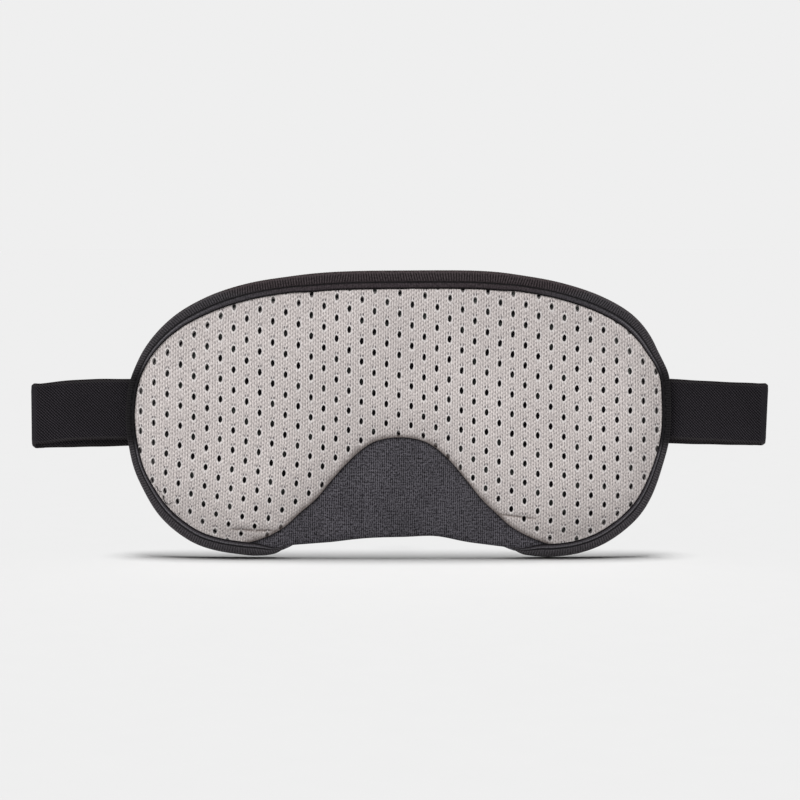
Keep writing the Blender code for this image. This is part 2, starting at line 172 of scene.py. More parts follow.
def inward(path):
    """Unit normals to the right of the path, which on the rim point into the mask."""
    ahead = np.gradient(path, axis=0)
    ahead /= np.linalg.norm(ahead, axis=1)[:, None]
    return columns(ahead[:, 1], -ahead[:, 0])


def inset(path, distance):
    return path + inward(path) * np.broadcast_to(distance, len(path))[:, None]


def distance_to(path, points):
    """How far each point is from the line."""
    nearest = np.full(len(points), np.inf)
    for a, b in zip(path[:-1], path[1:]):
        along = b - a
        t = np.clip((points - a) @ along / (along @ along), 0, 1)
        off = points - a - t[:, None] * along
        nearest = np.minimum(nearest, np.hypot(off[:, 0], off[:, 1]))
    return nearest


def inside(outline, points):
    odd = np.zeros(len(points), bool)
    for a, b in zip(outline, np.roll(outline, -1, axis=0)):
        spans = (a[1] > points[:, 1]) != (b[1] > points[:, 1])
        if not spans.any():
            continue
        crossing = a[0] + (points[:, 1] - a[1]) / (b[1] - a[1] + 1e-12) * (b[0] - a[0])
        odd ^= spans & (points[:, 0] < crossing)
    return odd


RIM = whole(RIM_HALF, 2)
ARCH = whole(ARCH_HALF, 2)
FLAP_EDGE = whole(FLAP_EDGE_HALF, 2)


def binding_width(z):
    top = 2.6 * smoothstep(15, 50, z) + 0.8 * smoothstep(54.2, 55.6, z)
    return 4 + top + 1.4 * smoothstep(-20, -50, z) - 0.2 * bump(z, -1, 13)


def lean_of(x, z):
    """How far the cloth leans sideways: its top to the right, its lower lobes outwards."""
    shift = 2.5 * smoothstep(12, 45, z) - 0.6 * bump(z, -23, 9)
    shift = shift + 1.3 * bump(x, 0, 42) * bump(z, -22, 12)
    right = 1.5 * smoothstep(26, 14, z) + 0.4 * bump(z, 13, 6)
    left = 0.7 * smoothstep(20, 8, z) + 0.9 * bump(z, -3, 13)
    return shift + right * smoothstep(30, 100, x) - left * smoothstep(-30, -100, x)


def lift_of(x, z):
    """How far the hand-sewn outline rises or drops from an even one."""
    low = 0.9 * bump(x, -67, 12) + 0.9 * bump(x, -39, 7) + 1.0 * bump(x, 15, 9)
    return low * smoothstep(-30, -48, z) - 0.6 * bump(x, -38, 22) * smoothstep(0, 45, z)


def leaned(points):
    """Points in space, shifted as the hand-sewn cloth is."""
    x, y, z = np.moveaxis(points, -1, 0)
    return np.stack([x + lean_of(x, z), y, z + lift_of(x, z)], axis=-1)


# Surfaces over the (x, z) plane


def bow(x):
    return BOW * (x / HALF_WIDTH) ** 2


def swelling(points, reach):
    """0 in the binding and at the arch seam, rising to 1 at that reach from them."""
    from_rim = distance_to(RIM, points) - binding_width(points[:, 1]) - LIP_GAP
    return np.clip(np.minimum(from_rim, distance_to(ARCH, points)) / reach, 0, 1)


def ripples(points, seed, longest, shortest, count=18):
    """Smooth unevenness between about -1 and 1, from seeded waves."""
    draw = np.random.default_rng(seed)
    total = np.zeros(len(points))
    for _ in range(count):
        length = draw.uniform(shortest, longest)
        angle = draw.uniform(0, math.pi)
        phase = draw.uniform(0, 2 * math.pi)
        direction = np.array([math.cos(angle), math.sin(angle)]) * 2 * math.pi / length
        total += np.sin(points @ direction + phase) * length / longest
    return total / math.sqrt(count)


def crease(points, start, end, width):
    """1 along a line between two points, falling off across it and towards its ends."""
    start, end = np.array(start, float), np.array(end, float)
    along = end - start
    t = (points - start) @ along / (along @ along)
    off = np.abs((points - start) @ np.array([-along[1], along[0]])) / np.linalg.norm(along)
    return np.exp(-((off / width) ** 2)) * smoothstep(-0.15, 0.2, t) * smoothstep(1.15, 0.8, t)


# Folds in the front cloth: start, end, width and height, which is negative for a fold inwards.
FRONT_FOLDS = (
    ((-67, -48.0), (-49, -47.9), 0.5, -0.8), ((-70, -45), (-48, -45.2), 2.0, 0.6),
    ((-57, -37), (-47, -44.5), 1.6, -0.5), ((39, -41), (54, -42.6), 0.5, -0.7),
    ((41, -38), (57, -39.5), 2.2, 0.5), ((49, -46), (62, -50), 1.4, -0.5),
    ((-34, -30), (-50, -14), 3.5, -0.4), ((30, -26), (52, -8), 3.5, -0.4),
)


def front_relief(points, behind):
    """How far the front cloth stands off its dome. Layers behind have only the inward folds, wider."""
    relief = 0.30 * ripples(points, 5, 60, 24)
    if not behind:
        relief += 0.08 * ripples(points, 9, 16, 8)
    for start, end, width, height in FRONT_FOLDS:
        if not behind:
            relief += height * crease(points, start, end, width)
        elif height < 0:
            relief += 1.1 * height * crease(points, start, end, width + 2.2)
    return relief


def front_surface(points, edge, full, behind=True):
    share = 1 - (1 - swelling(points, CROWN_REACH)) ** CROWN_POWER
    relief = front_relief(points, behind) * smoothstep(0, 0.25, share)
    return bow(points[:, 0]) + edge + (full - edge) * share - relief


def face_surface(points, edge, full, softness):
    share = smoothstep(0, 1, swelling(points, FACE_REACH))
    uneven = softness * ripples(points, 21, 50, 18) * share
    return bow(points[:, 0]) + edge + (full - edge) * share - uneven


# Meshes


def object_from(name, points, faces, finish, uv=None, smooth=50):
    """A mesh object from points in millimetres, with a UV in millimetres for each point."""
    mesh = bpy.data.meshes.new(name)
    mesh.from_pydata((np.asarray(points) * MM).tolist(), [], faces)
    if uv is not None:
        layer = mesh.uv_layers.new(name="cloth")
        corners = np.zeros(len(mesh.loops), int)
        mesh.loops.foreach_get("vertex_index", corners)
        layer.data.foreach_set("uv", uv[corners].ravel().astype(np.float32))
    mesh.materials.append(finish)
    mesh.update()
    mesh.set_sharp_from_angle(angle=math.radians(smooth))
    obj = bpy.data.objects.new(name, mesh)
    bpy.context.scene.collection.objects.link(obj)
    return obj


def triangulated(outline, loops, inner):
    """Points and triangles over an outline with holes in it."""
    plan = np.vstack([outline, *loops, inner])
    edges = []
    owner = np.full(len(plan), -1)
    start = 0
    for index, loop in enumerate([outline, *loops]):
        count = len(loop)
        edges += [(start + k, start + (k + 1) % count) for k in range(count)]
        owner[start : start + count] = index
        start += count
    found, _, faces, origin, *_ = delaunay_2d_cdt([Vector(p) for p in plan], edges, [], 1, 1e-6)
    owners = np.array([owner[o[0]] if o else -1 for o in origin])
    faces = np.array(faces)
    mine = owners[faces]
    in_hole = (mine[:, 0] > 0) & (mine[:, 0] == mine[:, 1]) & (mine[:, 1] == mine[:, 2])
    return np.array([tuple(p) for p in found]), faces[~in_hole]


def thick_sheet(name, plan, faces, front, back, finish, uv):
    """A closed sheet over a plan in (x, z) between two depths, walled along every open edge."""
    count = len(plan)
    points = np.vstack([columns(plan[:, 0], depth, plan[:, 1]) for depth in (front, back)])
    a, b, c = (plan[faces[:, k]] for k in range(3))
    turn = (b - a)[:, 0] * (c - a)[:, 1] - (b - a)[:, 1] * (c - a)[:, 0]
    faces = np.where((turn < 0)[:, None], faces[:, ::-1], faces)
    edges = np.vstack([faces[:, [0, 1]], faces[:, [1, 2]], faces[:, [2, 0]]])
    known = set(map(tuple, edges.tolist()))
    walls = [(b, a, a + count, b + count) for a, b in known if (b, a) not in known]
    every = faces.tolist() + (faces[:, ::-1] + count).tolist() + sorted(walls)
    return object_from(name, leaned(points), every, finish, np.vstack([uv, uv]))


def grid_inside(outline, spacing, keep):
    """Points of a staggered grid inside an outline, where keep says so."""
    low, high = outline.min(axis=0), outline.max(axis=0)
    rows = np.arange(low[1], high[1], spacing * 0.87)
    found = []
    for index, z in enumerate(rows):
        x = np.arange(low[0] + spacing * (0.25 + 0.5 * (index % 2)), high[0], spacing)
        found.append(columns(x, np.full(len(x), z)))
    found = np.vstack(found)
    found = found[inside(outline, found)]
    return found[keep(found)]


def filled(outline, spacing, clear):
    """Points and triangles over an outline without holes, none closer to it than clear."""
    closed = np.vstack([outline, outline[:1]])
    inner = grid_inside(outline, spacing, lambda p: distance_to(closed, p) > clear)
    return triangulated(outline, [], inner)


def tube_faces(stations, count, closed=False, base=0):
    """Quads between rings of equally many points, and a flat cap at each end of an open tube."""
    faces = []
    for k in range(stations if closed else stations - 1):
        a, b = base + k * count, base + (k + 1) % stations * count
        faces += [(a + i, b + i, b + (i + 1) % count, a + (i + 1) % count) for i in range(count)]
    if not closed:
        faces.append(list(range(base, base + count)))
        faces.append(list(range(base + (stations - 1) * count, base + stations * count))[::-1])
    return faces


def swept(name, rings, finish, uv=None, closed=False, smooth=50):
    """A closed solid through rings, an array of (stations, points, 3)."""
    faces = tube_faces(*rings.shape[:2], closed)
    return object_from(name, rings.reshape(-1, 3), faces, finish, uv, smooth)


# Materials


class Shader:
    """A material's node tree and the few node kinds that these materials use."""

    def __init__(self, name, roughness, sheen=0.0, specular=0.08):
        self.material = bpy.data.materials.new(name)
        self.material.use_nodes = True
        self.tree = self.material.node_tree
        self.surface = self.tree.nodes["Principled BSDF"]
        self.surface.inputs["Roughness"].default_value = roughness
        self.surface.inputs["Sheen Weight"].default_value = sheen
        self.surface.inputs["Sheen Roughness"].default_value = 0.5
        self.surface.inputs["Specular IOR Level"].default_value = specular

    def node(self, kind, inputs, **settings):
        made = self.tree.nodes.new(kind)
        for key, value in settings.items():
            setattr(made, key, value)
        for key, value in inputs.items():
            if isinstance(value, bpy.types.NodeSocket):
                self.tree.links.new(value, made.inputs[key])
            else:
                made.inputs[key].default_value = value
        return made

    def math(self, operation, *values):
        return self.node("ShaderNodeMath", dict(enumerate(values)), operation=operation).outputs[0]

    def times(self, first, second):
        return self.math("MULTIPLY", first, second)

    def times_plus(self, first, second, third):
        return self.math("MULTIPLY_ADD", first, second, third)

    def minus(self, first, second):
        return self.math("SUBTRACT", first, second)

    def apart(self, vector):
        return self.node("ShaderNodeSeparateXYZ", {0: vector}).outputs

    def uv(self):
        parts = self.apart(self.node("ShaderNodeUVMap", {}, uv_map="cloth").outputs[0])
        return parts[0], parts[1]

    def attribute(self, name):
        return self.node("ShaderNodeAttribute", {}, attribute_name=name).outputs["Fac"]

    def place(self, scale=(1, 1, 1)):
        spot = self.node("ShaderNodeTexCoord", {}).outputs["Object"]
        return self.node("ShaderNodeMapping", {"Vector": spot, "Scale": scale}).outputs[0]

    def flat(self, u, v):
        return self.node("ShaderNodeCombineXYZ", {0: u, 1: v}).outputs[0]

    def noise(self, vector, scale, detail=2.0, roughness=0.5):
        inputs = {"Vector": vector, "Scale": scale, "Detail": detail, "Roughness": roughness}
        return self.node("ShaderNodeTexNoise", inputs).outputs[0]

    def between(self, value, low, high, start=0.0, end=1.0, kind="LINEAR"):
        inputs = {"Value": value, "From Min": low, "From Max": high, "To Min": start, "To Max": end}
        return self.node("ShaderNodeMapRange", inputs, interpolation_type=kind).outputs[0]

    def smooth(self, value, low, high, start=0.0, end=1.0):
        return self.between(value, low, high, start, end, "SMOOTHSTEP")

    def grain(self, u, v, along, across, detail, roughness):
        """Noise over the flat cloth, closer or wider along each direction."""
        return self.noise(self.flat(self.times(u, along), self.times(v, across)), 1.0, detail, roughness)

    def mix(self, share, first, second):
        first = first if isinstance(first, bpy.types.NodeSocket) else (*first, 1)
        second = second if isinstance(second, bpy.types.NodeSocket) else (*second, 1)
        inputs = {0: share, 6: first, 7: second}
        return self.node("ShaderNodeMix", inputs, data_type="RGBA").outputs[2]

    def laid(self, colour, *layers):
        """The colour with others laid over it, each a share from 0 to 1, its strength and its colour."""
        for share, strength, tint in layers:
            colour = self.mix(self.times(share, strength), colour, tint)
        return colour

    def tinted(self, colour, tint):
        inputs = {0: 1.0, 6: colour, 7: tint}
        return self.node("ShaderNodeMix", inputs, data_type="RGBA", blend_type="MULTIPLY").outputs[2]

    def shade(self, colour, amount):
        """The colour times a grey amount."""
        grey = self.node("ShaderNodeCombineColor", {0: amount, 1: amount, 2: amount}).outputs[0]
        return self.tinted(colour, grey)

    def wave(self, value, pitch):
        """A sine of the value from 0 to 1, one cycle for each pitch."""
        turned = self.times(value, 2 * math.pi / pitch)
        return self.times_plus(self.math("SINE", turned), 0.5, 0.5)

    def finish(self, colour, height=None, depth=0.1, strength=1.0, roughness=None):
        self.tree.links.new(colour, self.surface.inputs["Base Color"])
        if height is not None:
            inputs = {"Height": height, "Distance": depth * MM, "Strength": strength}
            bump = self.node("ShaderNodeBump", inputs).outputs[0]
            self.tree.links.new(bump, self.surface.inputs["Normal"])
        if roughness is not None:
            self.tree.links.new(roughness, self.surface.inputs["Roughness"])
        return self.material


def mesh_material():
    """Pale warp knit: short upright strokes, a painted highlight on each hole's rim and two dark ticks
    above it.
    """
    s = Shader("perforated mesh", 0.9, sheen=0.04)
    u, v = s.uv()
    flat = s.flat(u, v)
    warp = s.noise(flat, 0.35)
    fine = s.grain(u, v, 2.2, 0.9, 3.0, 0.7)
    broad = s.noise(s.place(), 38.0, 3.0)
    shifted = s.times_plus(warp, 0.35, u)
    wale = s.wave(shifted, WALE_PITCH)
    half_drop = s.times(s.math("FLOOR", s.math("DIVIDE", shifted, WALE_PITCH)), 0.9)
    course = s.wave(s.math("ADD", v, half_drop), 1.6)
    dash = s.times(s.smooth(wale, 0.5, 0.0), s.smooth(course, 0.25, 0.75))
    ridge = s.times(s.smooth(wale, 0.5, 1.0), s.smooth(course, 0.75, 0.25))
    patchy = s.between(s.noise(flat, 0.45, 2.0), 0.35, 0.65, 0.25, 1.0)
    stroke = s.times(s.minus(ridge, dash), s.times(patchy, 0.34))
    stroke = s.math("ADD", stroke, s.between(fine, 0.25, 0.75, 0.2, 0.8))
    column = s.math("DIVIDE", u, COLUMN_PITCH)
    nearest = s.math("ROUND", column)
    du = s.times(s.minus(column, nearest), COLUMN_PITCH)
    down = s.math("DIVIDE", s.minus(s.times(nearest, COLUMN_RISE), v), ROW_PITCH)
    dv = s.times(s.minus(s.math("ROUND", down), down), ROW_PITCH)
    across = s.math("POWER", s.math("DIVIDE", du, HOLE_HALF_WIDTH), 2.0)
    upright = s.math("POWER", s.math("DIVIDE", dv, HOLE_HALF_HEIGHT), 2.0)
    out = s.math("SQRT", s.math("ADD", across, upright))
    cut = s.attribute("cut")
    rim = s.times(s.smooth(out, 1.0, 1.3), s.smooth(out, 2.1, 1.5))
    rim = s.times(rim, cut)
    # Painted shade: the cloth is darkened at the edge of each cut hole.
    painted_hole_shade = s.times(s.smooth(out, 1.2, 0.95), cut)
    tick_u = s.smooth(s.math("ABSOLUTE", s.minus(s.math("ABSOLUTE", du), 0.5)), 0.3, 0.12)
    tick_v = s.smooth(s.math("ABSOLUTE", s.minus(dv, 2.25)), 0.65, 0.3)
    tick = s.times(s.times(tick_u, tick_v), cut)
    colour = s.mix(s.between(stroke, 0.26, 0.74), (0.277, 0.249, 0.245), (0.785, 0.722, 0.700))
    colour = s.shade(colour, s.between(broad, 0.3, 0.7, 0.93, 1.05))
    # Painted shade: the cloth is darker low down, where it curves under.
    colour = s.shade(colour, s.smooth(s.apart(s.place())[2], -0.018, -0.048, 1.0, 0.92))
    # Painted highlight: the rim round each cut hole is made paler, as if lit.
    lit = s.times(rim, s.between(fine, 0.3, 0.7, 0.1, 0.7))
    colour = s.mix(lit, colour, (0.86, 0.83, 0.82))
    colour = s.laid(
        colour,
        (tick, 0.85, (0.09, 0.078, 0.088)),
        (painted_hole_shade, 0.9, (0.07, 0.065, 0.064)),
        # Painted shade in the narrow folds of the front cloth.
        (s.attribute("fold"), 0.8, (0.18, 0.145, 0.130)),
        # Painted shade along the arch seam, where the cloth rolls under.
        (s.attribute("seam"), 0.85, (0.075, 0.056, 0.050)),
    )
    height = s.minus(s.times_plus(rim, 0.35, stroke), tick)
    return s.finish(colour, height, 0.16, 0.8)


def jersey_material():
    """Charcoal heather jersey: fine upright wales crossed by short pale and dark streaks."""
    s = Shader("heather jersey", 1.0, sheen=0.03)
    u, v = s.uv()
    warp = s.noise(s.flat(u, v), 0.5)
    shifted = s.times_plus(warp, 0.3, u)
    wale = s.wave(shifted, 0.85)
    course = s.wave(v, 0.8)
    streak = s.grain(u, v, 0.5, 1.9, 2.0, 0.6)
    fibre = s.grain(u, v, 2.3, 1.1, 2.0, 0.7)
    broad = s.noise(s.place(), 60.0, 2.0)
    knit = s.times(wale, s.times_plus(course, 0.3, 0.7))
    tone = s.math("ADD", s.times(streak, 0.5), s.times(fibre, 0.8))
    tone = s.times_plus(knit, 0.20, tone)
    rows = s.wave(s.times_plus(warp, 0.8, v), 1.3)
    tone = s.times_plus(rows, 0.04, tone)
    colour = s.mix(s.between(tone, 0.645, 0.875), (0.013, 0.012, 0.014), (0.112, 0.106, 0.121))
    colour = s.shade(colour, s.between(broad, 0.3, 0.7, 0.86, 1.14))
    # Painted shade on the jersey along the arch seam.
    colour = s.laid(colour, (s.attribute("seam"), 0.8, (0.008, 0.007, 0.008)))
    return s.finish(colour, s.math("ADD", knit, fibre), 0.14, 0.8)


def binding_material():
    """Ribbed folding braid: brownish outer edge, ribbed band, dark groove and a purple inner band."""
    s = Shader("ribbed binding", 0.85, sheen=0.02)
    u, v = s.uv()
    place = s.math("ABSOLUTE", v)
    rib = s.wave(u, RIB_PITCH)
    thread = s.grain(u, v, 1.3, 9.0, 4.0, 0.65)
    band = s.node("ShaderNodeValToRGB", {0: place}).outputs[0]
    ramp = band.node.color_ramp
    stops = (
        (0.0, (0.044, 0.036, 0.034)), (0.10, (0.062, 0.056, 0.061)), (0.18, (0.050, 0.046, 0.050)),
        (0.55, (0.050, 0.046, 0.051)), (0.62, (0.008, 0.007, 0.008)), (0.70, (0.044, 0.041, 0.046)),
        (0.86, (0.042, 0.038, 0.043)), (0.94, (0.006, 0.005, 0.006)),
    )
    for index, (position, tint) in enumerate(stops):
        stop = ramp.elements[index] if index < 2 else ramp.elements.new(position)
        stop.position = position
        stop.color = (*tint, 1)
    height = s.apart(s.place())[2]
    top = s.smooth(height, 0.030, 0.046)
    middle = s.smooth(height, 0.0455, 0.0500)
    # Painted shadow: the binding is darker at both sides, where the straps cross it.
    beside = s.times(s.smooth(height, -0.018, -0.010), s.smooth(height, 0.022, 0.012))
    banded = s.times(s.smooth(place, 0.1, 0.2), s.smooth(place, 0.58, 0.5))
    # Painted shade: the ribs are lighter on their crests and darker in the grooves between them, deepest
    # at the top.
    rib_groove_shade = s.times(s.smooth(rib, 0.5, 0.05), banded)
    depth = s.times_plus(top, -0.22, -0.53)
    shade = s.times_plus(rib, 0.30, s.between(thread, 0.34, 0.66, 0.42, 1.42))
    shade = s.times(shade, s.times_plus(rib_groove_shade, depth, 1.0))
    # The painted strap shadow darkens the binding at the sides.
    shade = s.times(shade, s.times_plus(beside, -0.75, 1.0))
    # Painted highlight: a pale line along the inner lip, left off at the top and at the sides.
    line = s.smooth(s.math("ABSOLUTE", s.minus(place, 0.76)), 0.055, 0.02)
    line = s.times(line, s.minus(1.0, s.math("MAXIMUM", top, beside)))
    band = s.laid(band, (line, 0.75, (0.13, 0.125, 0.135)))
    band = s.laid(band, (middle, 0.7, s.tinted(band, (0.84, 0.68, 0.66, 1))))
    colour = s.shade(band, shade)
    weave = s.wave(v, 0.09)
    return s.finish(colour, s.times_plus(weave, 0.4, thread), 0.10, 0.8)


def strap_material():
    """Black woven elastic: a fine twill with faint lengthwise ribs, and painted highlights along each
    selvedge and round the fold.
    """
    s = Shader("woven elastic", 0.75, sheen=0.01, specular=0.06)
    u, v = s.uv()
    warp = s.noise(s.flat(u, v), 0.25)
    right = s.wave(s.math("ADD", s.times_plus(warp, 0.9, u), v), 1.2)
    left = s.wave(s.minus(u, s.times_plus(warp, 0.9, v)), 1.2)
    weave = s.times(right, s.times_plus(left, 0.6, 0.4))
    fibre = s.grain(u, v, 2.0, 3.5, 3.0, 0.65)
    broad = s.noise(s.place(), 45.0, 2.0)
    tone = s.times_plus(weave, 0.40, s.times(fibre, 0.8))
    colour = s.mix(s.between(tone, 0.42, 0.72), (0.0010, 0.0008, 0.0012), (0.0400, 0.0355, 0.0420))
    # Painted highlight: the strap is paler and bluish round its fold.
    fold = s.smooth(s.math("ABSOLUTE", s.apart(s.place())[0]), 0.1455, 0.1466)
    out = s.minus(STRAP_WIDTH / 2, s.math("ABSOLUTE", v))
    edge = s.smooth(out, 0.7, 0.1)
    # Painted highlight: a pale line just inside each edge.
    selvedge = s.times(s.smooth(out, 0.5, 0.8), s.smooth(out, 1.5, 1.1))
    colour = s.laid(
        colour,
        (fold, 0.7, (0.022, 0.020, 0.024)),
        (edge, 0.4, (0.022, 0.017, 0.014)),
        (selvedge, 0.35, (0.040, 0.037, 0.036)),
    )
    colour = s.shade(colour, s.between(broad, 0.3, 0.7, 0.88, 1.12))
    return s.finish(colour, s.times_plus(fibre, 0.5, weave), 0.16, 0.9)


def grained(name, dark, light, roughness, scale, depth, specular=0.1):
    """A plain material with a fine two-tone grain that also varies its height and roughness."""
    s = Shader(name, roughness, specular=specular)
    fine = s.noise(s.place(), scale, 4.0, 0.6)
    broad = s.noise(s.place(), scale / 12, 2.0)
    tone = s.times_plus(broad, 0.5, s.times(fine, 0.5))
    colour = s.mix(s.between(tone, 0.3, 0.7), dark, light)
    rough = s.between(fine, 0.3, 0.7, roughness - 0.06, roughness + 0.06)
    return s.finish(colour, fine, depth, 0.7, rough)


def lining_material():
    """Black knitted lining behind the holes, with a few paler greenish yarns."""
    s = Shader("lining", 0.9)
    fine = s.noise(s.place(), 1500.0, 2.0)
    patch = s.noise(s.place((1, 1, 0.6)), 420.0, 1.0)
    colour = s.mix(s.smooth(patch, 0.46, 0.70), (0.006, 0.006, 0.007), (0.055, 0.062, 0.057))
    return s.finish(s.shade(colour, s.between(fine, 0.3, 0.7, 0.6, 1.4)), fine, 0.1, 0.5)


# The mask body


def lattice_spots():
    """The holes' middles in the plane, for more of the lattice than the mask covers."""
    i, j = np.meshgrid(np.arange(-23.0, 24), np.arange(-12.0, 20))
    return lattice_plane(i.ravel(), j.ravel())


def lattice_plane(i, j):
    terms = (i, j, i * i, i * j, j * j, i**3, i * i * j, i * j * j, j**3)
    x = KNIT_START[0] + sum(share * term for share, term in zip(KNIT_X, terms))
    z = KNIT_START[1] + sum(share * term for share, term in zip(KNIT_Z, terms))
    return columns(x - lean_of(x, z), z - lift_of(x, z))


def cloth_uv(plan):
    """Each point's place in the flat cloth, by undoing lattice_plane with a few Newton steps."""
    i = plan[:, 0] / COLUMN_PITCH
    j = (KNIT_START[1] - plan[:, 1] + COLUMN_RISE * i) / ROW_PITCH
    for _ in range(12):
        off = plan - lattice_plane(i, j)
        i = i + off[:, 0] / COLUMN_PITCH
        j = j - (off[:, 1] - COLUMN_RISE / COLUMN_PITCH * off[:, 0]) / ROW_PITCH
    return columns(i * COLUMN_PITCH, i * COLUMN_RISE - j * ROW_PITCH)


def body_outline(edge_inset):
    edge = inset(RIM, edge_inset)
    body = edge[(np.abs(edge[:, 0]) >= FOOT_X) | (edge[:, 1] >= 0)]
    return np.vstack([body, ARCH[::-1]])


NARROW_FOLDS = [fold for fold in FRONT_FOLDS if fold[2] < 0.6]


def fold_points(fold):
    """Close rows of points along a fold, so that the cloth can follow it."""
    start, end = np.array(fold[0], float), np.array(fold[1], float)
    ahead = (end - start) / np.linalg.norm(end - start)
    beside = np.array([-ahead[1], ahead[0]])
    along = np.arange(-1, np.linalg.norm(end - start) + 1, 0.55)
    across = fold[2] * np.array([-2.8, -1.7, -0.9, 0, 0.9, 1.7, 2.8])
    grid = start + along[:, None, None] * ahead + across[None, :, None] * beside
    return grid.reshape(-1, 2)


def foreshortened(shape, spot):
    """A hole's outline narrowed across the rim's line and the arch seam, where the cloth turns away."""
    for line, least, near, far in ((RIM, 0.45, 5, 17), (ARCH, 0.2, 0.6, 3.2)):
        away = line - spot
        gaps = np.hypot(away[:, 0], away[:, 1])
        nearest = away[gaps.argmin()] / gaps.min()
        squeeze = (1 - least) * float(smoothstep(far, near, gaps.min()))
        shape = shape - squeeze * (shape @ nearest)[:, None] * nearest
    return shape


def shade_by(piece, name, values):
    """Stores a number for each point of a thick sheet's plan, for its material to read."""
    layer = piece.data.attributes.new(name, "FLOAT", "POINT")
    layer.data.foreach_set("value", np.tile(values, 2).astype(np.float32))


def make_mesh_panel(finish):
    """The pale front cloth with its holes cut through."""
    draw = np.random.default_rng(3)
    outline = body_outline(MESH_INSET)
    spots = lattice_spots()
    from_seam = distance_to(ARCH, spots)
    room = np.minimum(distance_to(RIM, spots) - 3.0, from_seam - 0.55)
    kept = inside(outline, spots) & (room > 0)
    spots, from_seam = spots[kept], from_seam[kept]
    turned = np.linspace(0, 2 * math.pi, 12, endpoint=False)
    loops, halos = [], []
    for spot, seam in zip(spots, from_seam):
        wide = HOLE_HALF_WIDTH * draw.uniform(0.9, 1.15)
        tall = HOLE_HALF_HEIGHT * draw.uniform(0.9, 1.12)
        tilt = draw.normal(0, 0.09) - 0.06
        ragged = 1 + draw.uniform(-0.06, 0.06, 12)
        pointed = 1 - 0.32 * np.abs(np.cos(turned)) ** 1.5
        shape = columns(wide * np.sin(turned) * pointed, tall * np.cos(turned))
        shape *= ragged[:, None]
        rotate = np.array([[math.cos(tilt), -math.sin(tilt)], [math.sin(tilt), math.cos(tilt)]])
        shape = foreshortened(shape @ rotate.T, spot)
        shape *= min(1, (seam + 0.45) / np.abs(shape).max())
        loops.append(spot + shape)
        halos.append(spot + shape * 1.45)

    def open_ground(p):
        free = distance_to(outline, p) > 1.1
        for fold in NARROW_FOLDS:
            free &= distance_to(np.array(fold[:2], float), p) > 4 * fold[2]
        for x, z in spots:
            free &= ((p[:, 0] - x) / 1.75) ** 2 + ((p[:, 1] - z) / 2.6) ** 2 > 1
        return free

    lines = np.vstack([fold_points(fold) for fold in NARROW_FOLDS])
    for x, z in spots:
        lines = lines[((lines[:, 0] - x) / 1.25) ** 2 + ((lines[:, 1] - z) / 2.1) ** 2 > 1]
    inner = np.vstack([*halos, lines, grid_inside(outline, 1.9, open_ground)])
    keep = inside(outline, inner) & (distance_to(np.vstack([outline, outline[:1]]), inner) > 0.5)
    plan, faces = triangulated(outline, loops, inner[keep])
    front = front_surface(plan, MESH_EDGE, MESH_FULL, behind=False)
    halo = np.full(len(plan), np.inf)
    for x, z in spots:
        halo = np.minimum(halo, np.hypot((plan[:, 0] - x) / 0.75, (plan[:, 1] - z) / 1.3))
    # How strongly the painted fold shade darkens each point.
    folded = sum(crease(plan, start, end, 0.42) for start, end, *_ in NARROW_FOLDS)
    front = front - 0.10 * bump(halo, 1.5, 0.4) + 0.12 * bump(halo, 0.9, 0.3)
    panel = thick_sheet("mesh_cloth", plan, faces, front, front + MESH_THICK, finish, cloth_uv(plan))
    shade_by(panel, "cut", smoothstep(3.4, 3.0, halo))
    shade_by(panel, "fold", folded)
    # Painted shade along the arch seam, for the material to read.
    shade_by(panel, "seam", smoothstep(1.9, 0.2, distance_to(ARCH, plan)) ** 1.2)
    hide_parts("front_mesh_panel")
    return panel


def make_layer(name, node, finish, spacing, *sides):
    """One of the layers behind the front cloth, following the same shape."""
    plan, faces = filled(body_outline(LAYER_INSET), spacing, spacing * 0.6)
    front, back = (surface(plan, *numbers) for surface, *numbers in sides)
    layer = thick_sheet(name, plan, faces, front, back, finish, plan)
    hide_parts(node)
    return layer


# The layers behind the front cloth: name, node, finish and spacing of points. Then for its front and its
# back, the surface that it follows, its depth in the binding, its full depth and its unevenness.
LAYERS = (
    ("lining_cloth", "front_lining", "lining", 2.2,
     (front_surface, -3.15, -9.95), (front_surface, -2.85, -9.4)),
    ("foam_core", "foam_pad", "foam", 3.0,
     (front_surface, -2.7, -8.8), (face_surface, -2.35, -1.8, 0.2)),
    ("film_layer", "blackout_film", "film", 3.0,
     (face_surface, -2.2, -1.5, 0.2), (face_surface, -2.05, -1.25, 0.2)),
    ("back_cloth", "back_panel", "jersey", 2.2,
     (face_surface, -1.9, -0.95, 0.2), (face_surface, -1.4, -0.1, 0.25)),
)


def flap_surface(points, low_edge):
    from_rim = distance_to(RIM, points) - binding_width(points[:, 1]) - LIP_GAP
    seam = distance_to(ARCH, points)
    nearest = np.minimum(np.minimum(from_rim, seam), distance_to(low_edge, points) + 5)
    roll = 0.22 * bump(distance_to(low_edge, points), 2.0, 1.6)
    mirror = columns(np.abs(points[:, 0]), points[:, 1])
    soft = 0.16 * ripples(mirror, 31, 30, 12) * smoothstep(0, 6, nearest)
    valley = 0.5 * bump(seam, 0, 1.1)
    return bow(points[:, 0]) + EDGE_Y - 3 * smoothstep(0, 14, nearest) - roll - soft + valley


